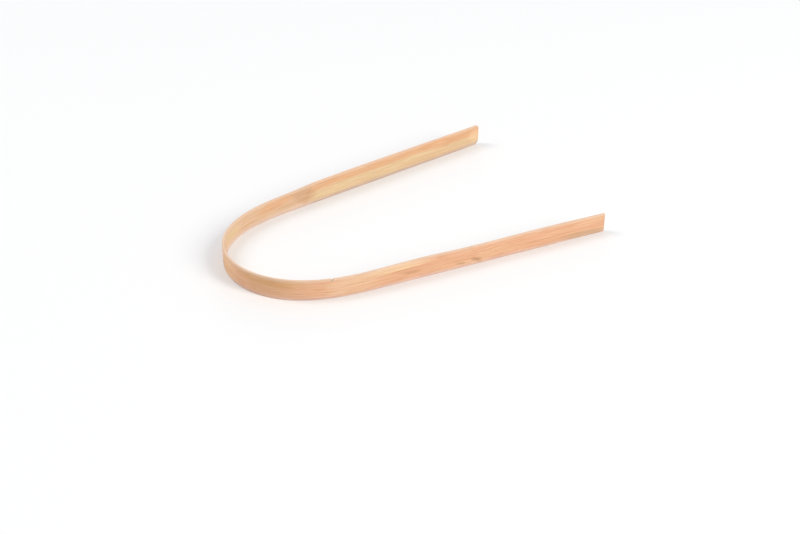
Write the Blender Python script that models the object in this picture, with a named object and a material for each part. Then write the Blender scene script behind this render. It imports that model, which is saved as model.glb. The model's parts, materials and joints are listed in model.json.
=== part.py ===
"""Spring tongs bent from one flat strip of bamboo.

The strip stands on its long edge: +X runs from the bend to the tips, +Y from the right arm
to the left arm, and +Z across the strip's width. The strip is modelled in four lengths, cut
where a bent strip flexes. The left bend and the left arm turn about the crown of the bend.
"""

import math

import bmesh
import bpy
from mathutils import Vector

MM = 0.001

# The bend: a crown of constant radius that eases into the two straight arms.
# Lengths along the strip are measured from the crown, negative towards the right tip.
CROWN_HALF_LENGTH = 25.0 * MM
EASE_LENGTH = 43.5 * MM
ARM_LENGTH = 100.0 * MM
SPLAY_ANGLE = math.radians(12.2)

# The strip's section: thickness, softened long edges, and the cut of the two tips.
THICKNESS = 1.0 * MM
EDGE_CHAMFER = 0.15 * MM
RIGHT_TIP_TOP_RADIUS = 0.5 * MM
RIGHT_TIP_LOW_RADIUS = 0.9 * MM
LEFT_TIP_TOP_RADIUS = 1.3 * MM
LEFT_TIP_LOW_RADIUS = 2.6 * MM
TIP_ARC_STEPS = 5

# Width of the hand-split strip, as (distance along the strip, width) from tip to tip.
# It widens by about a millimetre past the growth ring on the left arm.
WIDTH_STATIONS = (
    (-168.5 * MM, 8.5 * MM),
    (-140.0 * MM, 8.8 * MM),
    (-108.0 * MM, 8.55 * MM),
    (-82.0 * MM, 9.05 * MM),
    (-56.0 * MM, 8.65 * MM),
    (-16.0 * MM, 9.2 * MM),
    (32.0 * MM, 8.45 * MM),
    (56.0 * MM, 8.65 * MM),
    (82.0 * MM, 9.8 * MM),
    (100.0 * MM, 9.9 * MM),
    (168.5 * MM, 9.7 * MM),
)

# Gaps that keep neighbouring lengths of the strip apart.
LENGTH_GAP = 0.3 * MM

# Spacing of the cross-sections, and of the steps that trace the centreline.
BEND_STATION = 3.5 * MM
ARM_STATION = 7.0 * MM
TRACE_STEP = 0.5 * MM

RIGHT_ARM_COLOUR = (0.871, 0.515, 0.305, 1.0)
RIGHT_BEND_COLOUR = (0.723, 0.413, 0.231, 1.0)
LEFT_BEND_COLOUR = (0.753, 0.456, 0.283, 1.0)
LEFT_ARM_COLOUR = (0.839, 0.578, 0.361, 1.0)
BAMBOO_ROUGHNESS = 0.45

BEND_LENGTH = CROWN_HALF_LENGTH + EASE_LENGTH
HALF_STRIP = BEND_LENGTH + ARM_LENGTH
CROWN_RADIUS = 2.0 * (CROWN_HALF_LENGTH + EASE_LENGTH / 2.0) / (math.pi - SPLAY_ANGLE)


def clear_scene():
    """Remove every object that the scene starts with."""
    for old in list(bpy.data.objects):
        bpy.data.objects.remove(old, do_unlink=True)


def turn_from_crown(distance):
    """Angle the strip has turned through between the crown and this distance along it."""
    run = min(abs(distance), BEND_LENGTH)
    eased = max(run - CROWN_HALF_LENGTH, 0.0)
    turned = (run - eased**2 / (2.0 * EASE_LENGTH)) / CROWN_RADIUS
    return math.copysign(turned, distance)


def centre_from_crown(distance):
    """Point of the strip's centreline at this distance, with the crown at the origin."""
    steps = max(1, math.ceil(abs(distance) / TRACE_STEP))
    step = distance / steps
    point = Vector((0.0, 0.0))
    for index in range(steps):
        turned = turn_from_crown((index + 0.5) * step)
        point += step * Vector((math.sin(turned), math.cos(turned)))
    return point


def outward_at(distance):
    """Unit vector across the strip's thickness, towards the outside of the bend."""
    turned = turn_from_crown(distance)
    return Vector((-math.cos(turned), math.sin(turned)))


def width_at(distance):
    """Width of the strip, easing smoothly from one width station to the next."""
    width = WIDTH_STATIONS[-1][1]
    for (start, first), (end, second) in zip(WIDTH_STATIONS, WIDTH_STATIONS[1:]):
        if start <= distance <= end:
            share = (distance - start) / (end - start)
            width = first + (second - first) * share * share * (3.0 - 2.0 * share)
    return width


def corner_inset(to_tip, radius):
    """How far a rounded tip corner cuts into the width at this distance from the tip."""
    if to_tip >= radius:
        return 0.0
    return radius - math.sqrt(radius**2 - (radius - to_tip) ** 2)


# The crown lies where the whole part is centred on X = 0.
TIP_REACH = centre_from_crown(HALF_STRIP).x + math.sin(SPLAY_ANGLE / 2.0) * THICKNESS / 2.0
CROWN_X = -(TIP_REACH - THICKNESS / 2.0) / 2.0


def section_at(distance):
    """Eight corners of the strip's cross-section, inner side first, from the lower edge up."""
    centre = centre_from_crown(distance) + Vector((CROWN_X, 0.0))
    outward = outward_at(distance)
    to_tip = HALF_STRIP - abs(distance)
    low_radius = LEFT_TIP_LOW_RADIUS if distance > 0.0 else RIGHT_TIP_LOW_RADIUS
    top_radius = LEFT_TIP_TOP_RADIUS if distance > 0.0 else RIGHT_TIP_TOP_RADIUS
    low = corner_inset(to_tip, low_radius)
    top = width_at(distance) - corner_inset(to_tip, top_radius)
    side = THICKNESS / 2.0
    flat = side - EDGE_CHAMFER
    outline = (
        (-side, low + EDGE_CHAMFER),
        (-flat, low),
        (flat, low),
        (side, low + EDGE_CHAMFER),
        (side, top - EDGE_CHAMFER),
        (flat, top),
        (-flat, top),
        (-side, top - EDGE_CHAMFER),
    )
    corners = []
    for across, height in outline:
        place = centre + across * outward
        corners.append(Vector((place.x, place.y, height)))
    return corners


def even_stations(start, end, spacing):
    """Distances from start to end, evenly spaced at no more than the given spacing."""
    count = math.ceil((end - start) / spacing)
    return [start + (end - start) * index / count for index in range(count + 1)]


def tip_stations(radius):
    """Distances back from a tip that round a corner of this radius with even arc steps."""
    quarter = math.pi / 2.0
    angles = [quarter * index / TIP_ARC_STEPS for index in range(TIP_ARC_STEPS + 1)]
    return [radius * (1.0 - math.cos(angle)) for angle in angles]


def bamboo_material(name, colour):
    """Plain, slightly glossy bamboo."""
    material = bpy.data.materials.new(name)
    material.use_nodes = True
    shader = material.node_tree.nodes["Principled BSDF"]
    shader.inputs["Base Color"].default_value = colour
    shader.inputs["Roughness"].default_value = BAMBOO_ROUGHNESS
    shader.inputs["Metallic"].default_value = 0.0
    return material


def add_strip_length(name, distances, colour, parent=None):
    """Sweep the strip's section through the given distances as one closed solid."""
    origin = parent.location if parent else Vector((0.0, 0.0, 0.0))
    shape = bmesh.new()
    rings = []
    for distance in distances:
        rings.append([shape.verts.new(corner - origin) for corner in section_at(distance)])
    sides = len(rings[0])
    for ring, following in zip(rings, rings[1:]):
        for index in range(sides):
            beside = (index + 1) % sides
            shape.faces.new((ring[index], ring[beside], following[beside], following[index]))
    shape.faces.new(reversed(rings[0]))
    shape.faces.new(rings[-1])
    bmesh.ops.recalc_face_normals(shape, faces=shape.faces)
    mesh = bpy.data.meshes.new(name)
    shape.to_mesh(mesh)
    shape.free()
    mesh.shade_smooth()
    mesh.set_sharp_from_angle(angle=math.radians(30.0))
    mesh.materials.append(bamboo_material(name + "_bamboo", colour))
    length = bpy.data.objects.new(name, mesh)
    bpy.context.collection.objects.link(length)
    length.parent = parent
    return length


def add_crown_axis():
    """Empty on the vertical axis about which a squeeze turns the left side of the strip."""
    axis = bpy.data.objects.new("crown_axis", None)
    axis.location = (CROWN_X, 0.0, 0.0)
    bpy.context.collection.objects.link(axis)
    return axis


def arm_distances(tip_radii):
    """Distances, crown side first, for an arm whose tip corners have these radii."""
    start = BEND_LENGTH + LENGTH_GAP / 2.0
    tip_curve = set()
    for radius in tip_radii:
        tip_curve.update(round(HALF_STRIP - back, 7) for back in tip_stations(radius))
    straight = even_stations(start, min(tip_curve), ARM_STATION)
    return straight[:-1] + sorted(tip_curve)


def bend_distances():
    """Distances, crown side first, for one half of the bend."""
    return even_stations(LENGTH_GAP / 2.0, BEND_LENGTH - LENGTH_GAP / 2.0, BEND_STATION)


def mirrored(distances):
    """The same distances on the right side of the crown."""
    return [-distance for distance in distances]


def build_tongs():
    """Right arm and bend stay put; left bend and arm hang on the crown's axis."""
    crown_axis = add_crown_axis()
    right_arm = arm_distances((RIGHT_TIP_TOP_RADIUS, RIGHT_TIP_LOW_RADIUS))
    left_arm = arm_distances((LEFT_TIP_TOP_RADIUS, LEFT_TIP_LOW_RADIUS))
    add_strip_length("right_arm", mirrored(right_arm), RIGHT_ARM_COLOUR)
    add_strip_length("right_bend", mirrored(bend_distances()), RIGHT_BEND_COLOUR)
    add_strip_length("left_bend", bend_distances(), LEFT_BEND_COLOUR, crown_axis)
    add_strip_length("left_arm", left_arm, LEFT_ARM_COLOUR, crown_axis)


clear_scene()
build_tongs()
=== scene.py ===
"""Bamboo spring tongs: one flat strip of bamboo, bent to a U, standing on its long edge."""
import json
import math

import bmesh
import bpy
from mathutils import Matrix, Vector, noise


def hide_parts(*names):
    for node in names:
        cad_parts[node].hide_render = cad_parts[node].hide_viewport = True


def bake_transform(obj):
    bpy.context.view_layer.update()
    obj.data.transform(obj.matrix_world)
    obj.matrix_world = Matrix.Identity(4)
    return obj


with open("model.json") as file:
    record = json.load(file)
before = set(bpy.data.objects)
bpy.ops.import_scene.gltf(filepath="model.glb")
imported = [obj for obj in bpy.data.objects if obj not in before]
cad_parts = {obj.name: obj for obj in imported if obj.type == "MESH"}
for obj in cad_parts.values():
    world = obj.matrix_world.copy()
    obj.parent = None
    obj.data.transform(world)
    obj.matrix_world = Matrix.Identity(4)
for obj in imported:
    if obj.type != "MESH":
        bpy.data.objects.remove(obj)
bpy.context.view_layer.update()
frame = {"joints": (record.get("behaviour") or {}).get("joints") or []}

# --------------------------------------------------------------------------------------
# The strip. One length of bamboo is split from the cane, planed to about a millimetre,
# steamed round a former to a U and cut square at the ends. It is its own spring, so the
# mesh is one continuous sweep along the bend, with no seam where the CAD lengths meet.
# --------------------------------------------------------------------------------------

MM = 0.001

# The bend: a round crown that eases into two straight arms. Distances run along the strip
# from the crown, negative towards the right tip and positive towards the left one.
crown_half_length = 25.0 * MM
ease_length = 43.5 * MM
arm_length = 100.0 * MM
splay_angle = math.radians(12.2)
bend_length = crown_half_length + ease_length
half_strip = bend_length + arm_length
crown_radius = 2.0 * (crown_half_length + ease_length / 2.0) / (math.pi - splay_angle)
crown = Vector(frame["joints"][0]["pos_m"])

half_thickness = 0.5 * MM
edge_round = 0.17 * MM
trace_step = 0.25 * MM

# (distance, width) of the hand-split strip, which widens past the left growth ring.
width_stations = (
    (-168.5 * MM, 8.5 * MM),
    (-140.0 * MM, 8.8 * MM),
    (-108.0 * MM, 8.55 * MM),
    (-82.0 * MM, 9.05 * MM),
    (-56.0 * MM, 8.65 * MM),
    (-16.0 * MM, 9.2 * MM),
    (32.0 * MM, 8.45 * MM),
    (56.0 * MM, 8.65 * MM),
    (82.0 * MM, 9.8 * MM),
    (100.0 * MM, 9.9 * MM),
    (168.5 * MM, 9.7 * MM),
)

# The two growth rings of the cane cross the strip at a slant, as low rounded ridges.
right_ring = -108.0 * MM
left_ring = 72.0 * MM
ring_reach = 1.6 * MM
ring_slant = 0.45
ring_middle = 4.5 * MM
ring_height = 0.07 * MM

# A chip is missing from the top edge, just before the bend.
nick_place = -46.2 * MM
nick_reach = 0.45 * MM
nick_depth = 0.28 * MM

# Corner radii of the two cut ends.
right_tip_top = 0.25 * MM
right_tip_low = 0.40 * MM
left_tip_top = 1.3 * MM
left_tip_low = 2.6 * MM


def smooth(share):
    """Ease from 0 to 1 with level ends."""
    return share * share * (3.0 - 2.0 * share)


def turn_at(distance):
    """Angle the strip has turned through between the crown and this distance along it."""
    run = min(abs(distance), bend_length)
    eased = max(run - crown_half_length, 0.0)
    turned = (run - eased**2 / (2.0 * ease_length)) / crown_radius
    return math.copysign(turned, distance)


def trace_centreline():
    """Points of the centreline at every trace step from the crown to the left tip."""
    points = [Vector((0.0, 0.0, 0.0))]
    for index in range(math.ceil(half_strip / trace_step) + 1):
        turned = turn_at((index + 0.5) * trace_step)
        points.append(points[-1] + trace_step * Vector((math.sin(turned), math.cos(turned), 0.0)))
    return points


centreline = trace_centreline()


def centre_at(distance):
    """Point of the centreline at this distance, on the surface that the strip stands on."""
    place = abs(distance) / trace_step
    index = int(place)
    point = centreline[index].lerp(centreline[index + 1], place - index)
    return Vector((crown.x + point.x, math.copysign(point.y, distance), 0.0))


def outward_at(distance):
    """Unit vector across the thickness, towards the outside of the bend."""
    turned = turn_at(distance)
    return Vector((-math.cos(turned), math.sin(turned), 0.0))


def width_at(distance):
    """Width of the strip, easing from one width station to the next."""
    width = width_stations[-1][1]
    for (start, first), (end, second) in zip(width_stations, width_stations[1:]):
        if start <= distance <= end:
            width = first + (second - first) * smooth((distance - start) / (end - start))
    return width


def corner_inset(to_tip, radius):
    """How far a rounded corner cuts into the width at this distance from the tip."""
    if to_tip >= radius:
        return 0.0
    return radius - math.sqrt(max(radius**2 - (radius - to_tip) ** 2, 0.0))


def ring_swell(distance, height):
    """Share, 0 to 1, of a growth ring's full ridge at this spot."""
    swell = 0.0
    for ring in (right_ring, left_ring):
        away = distance - ring - ring_slant * (height - ring_middle)
        swell += math.exp(-((away / ring_reach) ** 2))
    return swell


def face_relief(distance, height):
    """Shallow waves and ridges that planing leaves on a face, and the growth rings."""
    wave_length, wave_height, wave_depth = 22.0 * MM, 5.0 * MM, 0.035 * MM
    ridge_length, ridge_height, ridge_depth = 60.0 * MM, 0.9 * MM, 0.022 * MM
    wave_row, ridge_row = 3.7, 9.1
    wave = noise.noise(Vector((distance / wave_length, height / wave_height, wave_row)))
    ridge = noise.noise(Vector((distance / ridge_length, height / ridge_height, ridge_row)))
    return wave_depth * wave + ridge_depth * ridge + ring_height * ring_swell(distance, height)


def edge_wander(distance, row):
    """How far a hand-cut long edge strays inwards, never outwards; each edge has its row."""
    slow_length, slow_depth = 17.0 * MM, 0.05 * MM
    quick_length, quick_depth = 2.5 * MM, 0.02 * MM
    quick_layer = 5.0
    slow = noise.noise(Vector((distance / slow_length, row, 0.0)))
    quick = noise.noise(Vector((distance / quick_length, row, quick_layer)))
    return slow_depth * (0.5 + 0.5 * slow) + quick_depth * (0.5 + 0.5 * quick)


def half_profile(low, top):
    """(height, share of half the thickness) from the foot's middle up to the head's."""
    corner_steps = 4
    face_steps = 12
    flat = half_thickness - edge_round
    corner = []
    for step in range(corner_steps + 1):
        angle = math.pi / 2.0 * step / corner_steps
        share = (flat + edge_round * math.sin(angle)) / half_thickness
        corner.append((edge_round * (1.0 - math.cos(angle)), share))
    profile = [(low, 0.0)] + [(low + rise, share) for rise, share in corner]
    for step in range(1, face_steps):
        face_rise = (top - low - 2.0 * edge_round) * step / face_steps
        profile.append((low + edge_round + face_rise, 1.0))
    profile += [(top - rise, share) for rise, share in reversed(corner)]
    return profile + [(top, 0.0)]


def strip_distances():
    """Distances of the cross-sections: even, closer at rings, nick and tip corners."""
    even_step = 1.5 * MM
    tip_steps = 8
    closest = 0.04 * MM
    count = math.ceil(2.0 * half_strip / even_step)
    places = {-half_strip + 2.0 * half_strip * n / count for n in range(count + 1)}
    for middle, reach, step in (
        (right_ring, 5.0 * MM, 0.40 * MM),
        (nick_place, 1.4 * MM, 0.14 * MM),
        (left_ring, 5.0 * MM, 0.40 * MM),
    ):
        places.update(middle - reach + step * n for n in range(round(2.0 * reach / step) + 1))
    for side, radius in ((-1, right_tip_low), (1, left_tip_top), (1, left_tip_low)):
        for step in range(1, tip_steps + 1):
            back = radius * (1.0 - math.cos(math.pi / 2.0 * step / tip_steps))
            places.add(side * (half_strip - back))
    ordered = sorted(places)
    kept = [ordered[0]]
    for distance in ordered[1:-1]:
        if distance - kept[-1] > closest and ordered[-1] - distance > closest:
            kept.append(distance)
    return kept + [ordered[-1]]


def add_section(shape, layers, distance):
    """Vertices of one cross-section: up the inner side, then down the outer side."""
    relief_room = 0.06 * MM
    foot_row, head_row = 1.3, 7.9
    foot_share = 0.4
    foot_wander = foot_share * edge_wander(distance, foot_row)
    head_wander = edge_wander(distance, head_row)
    to_tip = half_strip - abs(distance)
    tip_low = left_tip_low if distance > 0.0 else right_tip_low
    tip_top = left_tip_top if distance > 0.0 else right_tip_top
    nick = nick_depth * math.exp(-(((distance - nick_place) / nick_reach) ** 2))
    low = corner_inset(to_tip, tip_low) + foot_wander
    top = width_at(distance) - corner_inset(to_tip, tip_top) - head_wander - nick
    profile = half_profile(low, top)
    inner = [(height, -share) for height, share in profile]
    outer = list(reversed(profile[1:-1]))
    section = []
    for height, share in inner + outer:
        relief = math.copysign(face_relief(distance, height), share) if share else 0.0
        across = share * (half_thickness - relief_room) + relief
        spot = centre_at(distance) + across * outward_at(distance)
        vertex = shape.verts.new((spot.x, spot.y, height))
        vertex[layers["grain_place"]] = Vector((distance, height, across)) / MM
        vertex[layers["share_up"]] = (height - low) / (top - low)
        vertex[layers["ring_swell"]] = ring_swell(distance, height)
        section.append(vertex)
    return section


def close_end(shape, section):
    """Close a cut end with faces from the inner side across to the outer side."""
    last = len(section)
    half = last // 2
    shape.faces.new((section[0], section[1], section[last - 1]))
    for step in range(1, half - 1):
        far = last - step
        shape.faces.new((section[step], section[step + 1], section[far - 1], section[far]))
    shape.faces.new((section[half - 1], section[half], section[half + 1]))


shape = bmesh.new()
layers = {
    "grain_place": shape.verts.layers.float_vector.new("grain_place"),
    "share_up": shape.verts.layers.float.new("share_up"),
    "ring_swell": shape.verts.layers.float.new("ring_swell"),
}
sections = [add_section(shape, layers, distance) for distance in strip_distances()]
for section, following in zip(sections, sections[1:]):
    for index in range(len(section)):
        beside = (index + 1) % len(section)
        corners = (section[index], section[beside], following[beside], following[index])
        shape.faces.new(corners)
close_end(shape, sections[0])
close_end(shape, sections[-1])
bmesh.ops.recalc_face_normals(shape, faces=shape.faces)
strip_mesh = bpy.data.meshes.new("bamboo_strip")
shape.to_mesh(strip_mesh)
shape.free()
strip_mesh.shade_smooth()
crease_angle = math.radians(50.0)
strip_mesh.set_sharp_from_angle(angle=crease_angle)
strip = bpy.data.objects.new("bamboo_strip", strip_mesh)
bpy.context.scene.collection.objects.link(strip)


def linear(code):
    """Linear colour of an sRGB hex code."""
    parts = [int(code[n : n + 2], 16) / 255.0 for n in (0, 2, 4)]
    curve = [p / 12.92 if p <= 0.04045 else ((p + 0.055) / 1.055) ** 2.4 for p in parts]
    return (*curve, 1.0)


def node(tree, kind, settings, links, output=0):
    """Add a node with its settings and links, and give back one of its outputs."""
    made = tree.nodes.new(kind)
    for name, value in settings.items():
        if isinstance(name, str) and hasattr(made, name):
            setattr(made, name, value)
        else:
            made.inputs[name].default_value = value
    for name, socket in links.items():
        tree.links.new(socket, made.inputs[name])
    return made.outputs[output]


# Split bamboo, planed but not varnished: a satin wood with fine long fibres. The outer face
# was next to the cane's skin, so its fibres lie close and it is salmon orange; the inner face
# is the cane's paler pith side. Colours drift along the grain. Just under the top edge the faces
# are paler, partly the cut edge's own cream and partly a painted highlight; near the table they
# carry painted shade and bounce light.
bamboo = bpy.data.materials.new("split_bamboo")
bamboo.use_nodes = True
tree = bamboo.node_tree
shader = tree.nodes["Principled BSDF"]
place = node(tree, "ShaderNodeAttribute", {"attribute_name": "grain_place"}, {}, "Vector")
share_up = node(tree, "ShaderNodeAttribute", {"attribute_name": "share_up"}, {}, "Fac")
swell = node(tree, "ShaderNodeAttribute", {"attribute_name": "ring_swell"}, {}, "Fac")
along = node(tree, "ShaderNodeSeparateXYZ", {}, {"Vector": place}, "X")
across = node(tree, "ShaderNodeSeparateXYZ", {}, {"Vector": place}, "Z")


def grain(length, height, shift, detail=2.0):
    """Noise drawn out along the strip, its cells this many millimetres long and high.

    The shift picks a stretch of the noise that no other pattern here uses.
    """
    cell = (length, height, height)
    drawn_out = node(
        tree,
        "ShaderNodeMapping",
        {"vector_type": "TEXTURE", "Location": (shift, 0.0, shift), "Scale": cell},
        {"Vector": place},
    )
    return node(
        tree,
        "ShaderNodeTexNoise",
        {"Scale": 1.0, "Detail": detail, "Roughness": 0.55},
        {"Vector": drawn_out},
    )


def tinted(ground, colour, level, bare, full, strength=1.0):
    """The ground tinted towards a colour, more and more as a level goes from bare to full."""
    tint_share = node(
        tree,
        "ShaderNodeMapRange",
        {"interpolation_type": "SMOOTHSTEP", "From Min": bare, "From Max": full, "To Max": strength},
        {"Value": level},
    )
    return node(
        tree,
        "ShaderNodeMixRGB",
        {"Color2": linear(colour)},
        {"Fac": tint_share, "Color1": ground},
    )


# The outer face: salmon ground, with bands of pink and of straw yellow and short mottles.
outer = node(
    tree,
    "ShaderNodeMixRGB",
    {"Color1": linear("E7B58A"), "Color2": linear("E0A685")},
    {"Fac": grain(38.0, 1.9, 4.0)},
)
outer = tinted(outer, "E5B98D", grain(26.0, 1.3, 31.0), 0.50, 0.64, 0.8)
outer = tinted(outer, "D5976F", grain(7.0, 1.2, 44.0), 0.52, 0.68, 0.50)
# Towards its foot the face is painted duller and pinker: painted shade and bounce light from the
# table.
outer = tinted(outer, "E2C7BC", share_up, 0.24, 0.04, 0.60)

# The inner face before the growth ring: cream ground, with bands and mottles of orange.
before_ring = node(
    tree,
    "ShaderNodeMixRGB",
    {"Color1": linear("DCBF9E"), "Color2": linear("D6AF8A")},
    {"Fac": grain(34.0, 2.1, 57.0)},
)
before_ring = tinted(before_ring, "D8A980", grain(9.0, 1.4, 62.0), 0.54, 0.72, 0.40)
# Towards its foot the face is painted paler and pinker: painted bounce light from the table.
before_ring = tinted(before_ring, "E4CEC4", share_up, 0.30, 0.04, 0.65)

# Past the ring it is light orange above and straw yellow below, with painted shade along its foot
# where it meets the table.
waviness = 0.30
wavy_share = node(
    tree,
    "ShaderNodeMath",
    {"operation": "MULTIPLY_ADD", 1: waviness},
    {0: grain(30.0, 4.0, 11.0), 2: share_up},
)
past_ring = node(
    tree,
    "ShaderNodeMixRGB",
    {"Color1": linear("E1C99B"), "Color2": linear("DABB93")},
    {"Fac": grain(24.0, 1.2, 83.0)},
)
past_ring = tinted(past_ring, "DDA77B", wavy_share, 0.64, 0.80, 0.85)
past_ring = tinted(past_ring, "DDAA80", grain(9.0, 1.2, 90.0), 0.54, 0.72, 0.40)
# Painted contact shade: the foot is darkened and greyed where the face meets the table.
past_ring = tinted(past_ring, "C5ADA2", share_up, 0.22, 0.04, 0.85)

ring_start, ring_end = 70.0, 78.0
beyond = node(
    tree,
    "ShaderNodeMapRange",
    {"interpolation_type": "SMOOTHSTEP", "From Min": ring_start, "From Max": ring_end},
    {"Value": along},
)
inner = node(
    tree, "ShaderNodeMixRGB", {}, {"Fac": beyond, "Color1": before_ring, "Color2": past_ring}
)
face_blend = 0.3
on_outer = node(
    tree, "ShaderNodeMapRange", {"From Min": -face_blend, "From Max": face_blend}, {"Value": across}
)
ground = node(tree, "ShaderNodeMixRGB", {}, {"Fac": on_outer, "Color1": inner, "Color2": outer})

# The marks of this one piece of cane, and a painted shade on the bend: name; place along, height
# up and face, 0.5 being outer and -0.5 inner; half length and half height; slope; colour; strength.
# Places and reaches are in millimetres, and slopes in radians.
marks_and_shade = (
    ("ring_scar", (-108.0, 2.3, 0.5), (3.4, 1.2), 0.20, "8F653E", 0.45),
    ("ring_speck", (-101.0, 2.1, 0.5), (2.8, 0.8), 0.15, "A0744C", 0.40),
    ("olive_foot", (-159.0, 1.3, 0.5), (15.0, 1.9), 0.03, "C6A37F", 0.70),
    ("brown_streak", (-78.5, 3.9, 0.5), (6.0, 1.2), 0.06, "B98A60", 0.38),
    ("cream_band", (-73.0, 7.4, 0.5), (19.0, 2.0), 0.00, "EFCCA2", 0.80),
    ("cream_bow", (-55.0, 4.0, 0.5), (14.0, 6.0), 0.00, "E8C29C", 0.60),
    ("nick_shade", (nick_place / MM, 8.4, 0.5), (0.8, 0.8), 0.00, "6F5B47", 0.75),
    ("straw_bow", (-20.0, 7.4, 0.5), (19.0, 3.8), 0.00, "D59E5D", 0.56),
    # Painted shade: the bend's outer face is darkened where it turns away from the light.
    ("bend_painted_shade", (-17.0, 3.2, 0.5), (17.0, 6.0), 0.00, "CD9A62", 0.16),
    ("pale_crown", (4.0, 4.6, 0.5), (11.0, 7.0), 0.00, "EDBF8E", 0.70),
    ("orange_patch", (56.0, 6.4, -0.5), (14.0, 3.4), 0.12, "DDA070", 0.55),
    ("straw_hollow", (27.0, 4.6, -0.5), (9.0, 3.0), 0.00, "DDC18F", 0.45),
    ("ring_shadow", (70.5, 5.8, -0.5), (8.0, 5.0), -0.25, "C08E62", 0.45),
    ("tan_flank", (143.0, 2.6, -0.5), (30.0, 2.6), 0.00, "D6AC84", 0.45),
    ("orange_edge", (143.0, 9.4, -0.5), (13.0, 2.6), 0.00, "DB975F", 0.60),
    ("light_tip", (167.0, 5.2, -0.5), (6.0, 4.0), 0.00, "EFC69C", 0.60),
)
ragged_reach = (2.0, 0.8, 0.0)
face_reach = 0.6
full_mark = 0.6
stray_cells = node(
    tree,
    "ShaderNodeMapping",
    {"vector_type": "TEXTURE", "Scale": (2.6, 0.8, 0.8)},
    {"Vector": place},
)
stray = node(
    tree, "ShaderNodeTexNoise", {"Scale": 1.0, "Detail": 3.0}, {"Vector": stray_cells}, "Color"
)
ragged_place = node(
    tree,
    "ShaderNodeVectorMath",
    {"operation": "MULTIPLY_ADD", 1: ragged_reach},
    {0: stray, 2: place},
)
for name, spot, reach, slope, colour, strength in marks_and_shade:
    middle = (spot[0] + ragged_reach[0] / 2.0, spot[1] + ragged_reach[1] / 2.0, spot[2])
    spread = node(
        tree,
        "ShaderNodeMapping",
        {
            "name": name,
            "vector_type": "TEXTURE",
            "Location": middle,
            "Rotation": (0.0, 0.0, slope),
            "Scale": (*reach, face_reach),
        },
        {"Vector": ragged_place},
    )
    fade = node(
        tree, "ShaderNodeTexGradient", {"gradient_type": "SPHERICAL"}, {"Vector": spread}, "Fac"
    )
    ground = tinted(ground, colour, fade, 0.0, full_mark, strength)

# Fibre bundles: brown threads, with paler ones between them. Real bundles are about 0.2 mm
# high; these are drawn 0.30 to 0.34 mm high, as finer ones would not show at arm's length.
thread_detail = 3.0
threads = grain(22.0, 0.34, 140.0, thread_detail)
ground = tinted(ground, "C2875A", threads, 0.52, 0.68, 0.55)
ground = tinted(ground, "FBDDB8", grain(16.0, 0.30, 170.0, thread_detail), 0.54, 0.72, 0.60)

# The growth rings are a shade browner than the cane between them, in broken patches.
broken_rings = node(
    tree, "ShaderNodeMath", {"operation": "MULTIPLY"}, {0: swell, 1: grain(2.5, 1.1, 230.0)}
)
ground = tinted(ground, "B98455", broken_rings, 0.20, 0.60, 0.16)

# Just under the top edge the faces turn pale: partly the cut edge's own cream, partly a painted
# highlight where the light from above catches it. The cut ends show cream end grain, dotted with
# cut bundles that are 0.4 mm apart, and begin within a twentieth of a millimetre of the very end.
ground = tinted(ground, "E6CCB6", share_up, 0.84, 0.98, 0.50)
bundle_spacing = 0.4
bundles = node(tree, "ShaderNodeTexVoronoi", {"Scale": 1.0 / bundle_spacing}, {"Vector": place})
dotted = node(
    tree,
    "ShaderNodeMixRGB",
    {"Color1": linear("B98A5E"), "Color2": linear("F3D9B8")},
    {"Fac": bundles},
)
end_grain_start = half_strip / MM - 0.05
end_grain_full = half_strip / MM - 0.01
from_crown = node(tree, "ShaderNodeMath", {"operation": "ABSOLUTE"}, {0: along})
cut_face = node(
    tree,
    "ShaderNodeMapRange",
    {"From Min": end_grain_start, "From Max": end_grain_full},
    {"Value": from_crown},
)
ground = node(
    tree, "ShaderNodeMixRGB", {}, {"Fac": cut_face, "Color1": ground, "Color2": dotted}
)

# The skin side is a little glossier than the pith side, and dark threads lie a hair lower.
pith_roughness, skin_roughness = 0.62, 0.46
roughness_drift = 0.12
dullness = node(
    tree,
    "ShaderNodeMapRange",
    {"To Min": pith_roughness, "To Max": skin_roughness},
    {"Value": on_outer},
)
roughness = node(
    tree,
    "ShaderNodeMath",
    {"operation": "MULTIPLY_ADD", 1: roughness_drift},
    {0: grain(12.0, 0.5, 200.0), 2: dullness},
)
grooved = node(
    tree,
    "ShaderNodeBump",
    {"invert": True, "Strength": 0.5, "Distance": 0.06 * MM},
    {"Height": threads},
    "Normal",
)
tree.links.new(ground, shader.inputs["Base Color"])
tree.links.new(roughness, shader.inputs["Roughness"])
tree.links.new(grooved, shader.inputs["Normal"])
shader.inputs["IOR"].default_value = 1.5
strip_mesh.materials.append(bamboo)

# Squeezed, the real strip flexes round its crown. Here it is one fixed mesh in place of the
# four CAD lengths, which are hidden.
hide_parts("right_arm", "right_bend", "left_bend", "left_arm")
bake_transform(strip)

# --------------------------------------------------------------------------------------
# The table. White matt laminate, plain, laid flat under the tongs and far wider than them.
# --------------------------------------------------------------------------------------

table_side = 6.0
bpy.ops.mesh.primitive_plane_add(size=table_side, location=(0.0, 0.0, 0.0))
table = bpy.context.object
table.name = "white_table"
laminate = bpy.data.materials.new("white_laminate")
laminate.use_nodes = True
laminate_shader = laminate.node_tree.nodes["Principled BSDF"]
laminate_shader.inputs["Base Color"].default_value = linear("F2F3F4")
laminate_shader.inputs["Roughness"].default_value = 0.9
laminate_shader.inputs["Specular IOR Level"].default_value = 0.2
table.data.materials.append(laminate)

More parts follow.
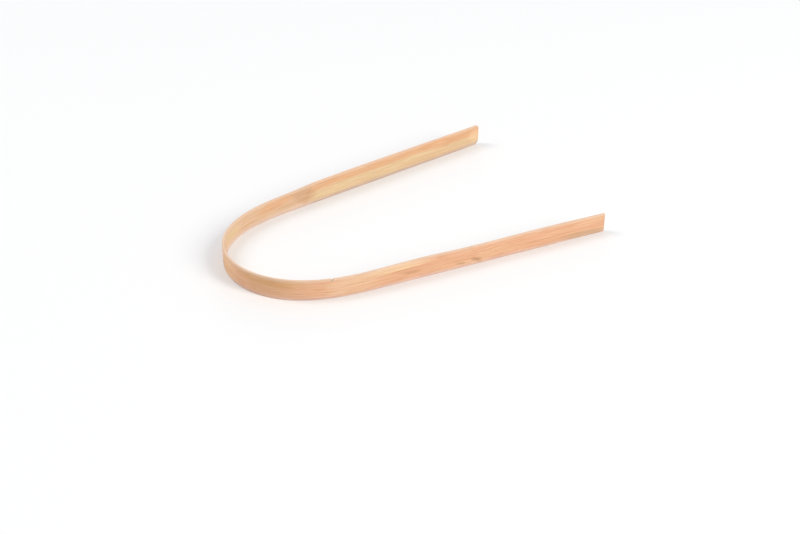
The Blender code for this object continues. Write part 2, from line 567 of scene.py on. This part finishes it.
# --------------------------------------------------------------------------------------
# The light. An even, slightly cool white room, a tall softbox each side, and a small low
# one behind, so the bend throws a soft shadow outwards and the tips throw short ones.
# --------------------------------------------------------------------------------------

room = bpy.data.worlds.new("white_room")
room.use_nodes = True
bpy.context.scene.world = room
walls = room.node_tree.nodes["Background"]
walls.inputs["Color"].default_value = linear("F2F8FF")
walls.inputs["Strength"].default_value = 0.665

camera_heading = math.radians(31.23)
softbox_distance = 2.0
softbox_white = linear("FFF6EC")


def add_softbox(name, bearing, rise, width, height, brightness):
    """A soft light; its bearing is in degrees clockwise from where the camera looks."""
    turn = camera_heading + math.radians(bearing)
    level = math.cos(math.radians(rise))
    towards = Vector((math.sin(turn) * level, math.cos(turn) * level, math.sin(math.radians(rise))))
    lamp = bpy.data.lights.new(name, "AREA")
    lamp.shape = "RECTANGLE"
    lamp.color = softbox_white[:3]
    lamp.size = width
    lamp.size_y = height
    lamp.energy = brightness * (math.pi * softbox_distance) ** 2
    softbox = bpy.data.objects.new(name, lamp)
    softbox.location = towards * softbox_distance
    softbox.rotation_euler = (-towards).to_track_quat("-Z", "Y").to_euler()
    bpy.context.scene.collection.objects.link(softbox)


add_softbox("right_softbox", 118.0, 35.0, 0.57, 1.21, 0.56)
add_softbox("left_softbox", 280.0, 50.0, 0.71, 1.14, 0.305)
add_softbox("back_softbox", 0.0, 20.0, 0.43, 0.43, 0.060)

# White stays white in the picture.
bpy.context.scene.view_settings.view_transform = "Standard"

# --------------------------------------------------------------------------------------
# The camera looks down on the table from outside the right arm, with the bend to its left.
# --------------------------------------------------------------------------------------

camera_aim = Vector((-0.01294, -0.02727, 0.0))
camera_distance = 0.5358
camera_pitch = math.radians(32.31)
forward = Vector(
    (
        math.sin(camera_heading) * math.cos(camera_pitch),
        math.cos(camera_heading) * math.cos(camera_pitch),
        -math.sin(camera_pitch),
    )
)
camera_data = bpy.data.cameras.new("camera")
camera_data.lens = 60.0
camera = bpy.data.objects.new("camera", camera_data)
camera.location = camera_aim - camera_distance * forward
camera.rotation_euler = forward.to_track_quat("-Z", "Y").to_euler()
bpy.context.scene.collection.objects.link(camera)
bpy.context.scene.camera = camera
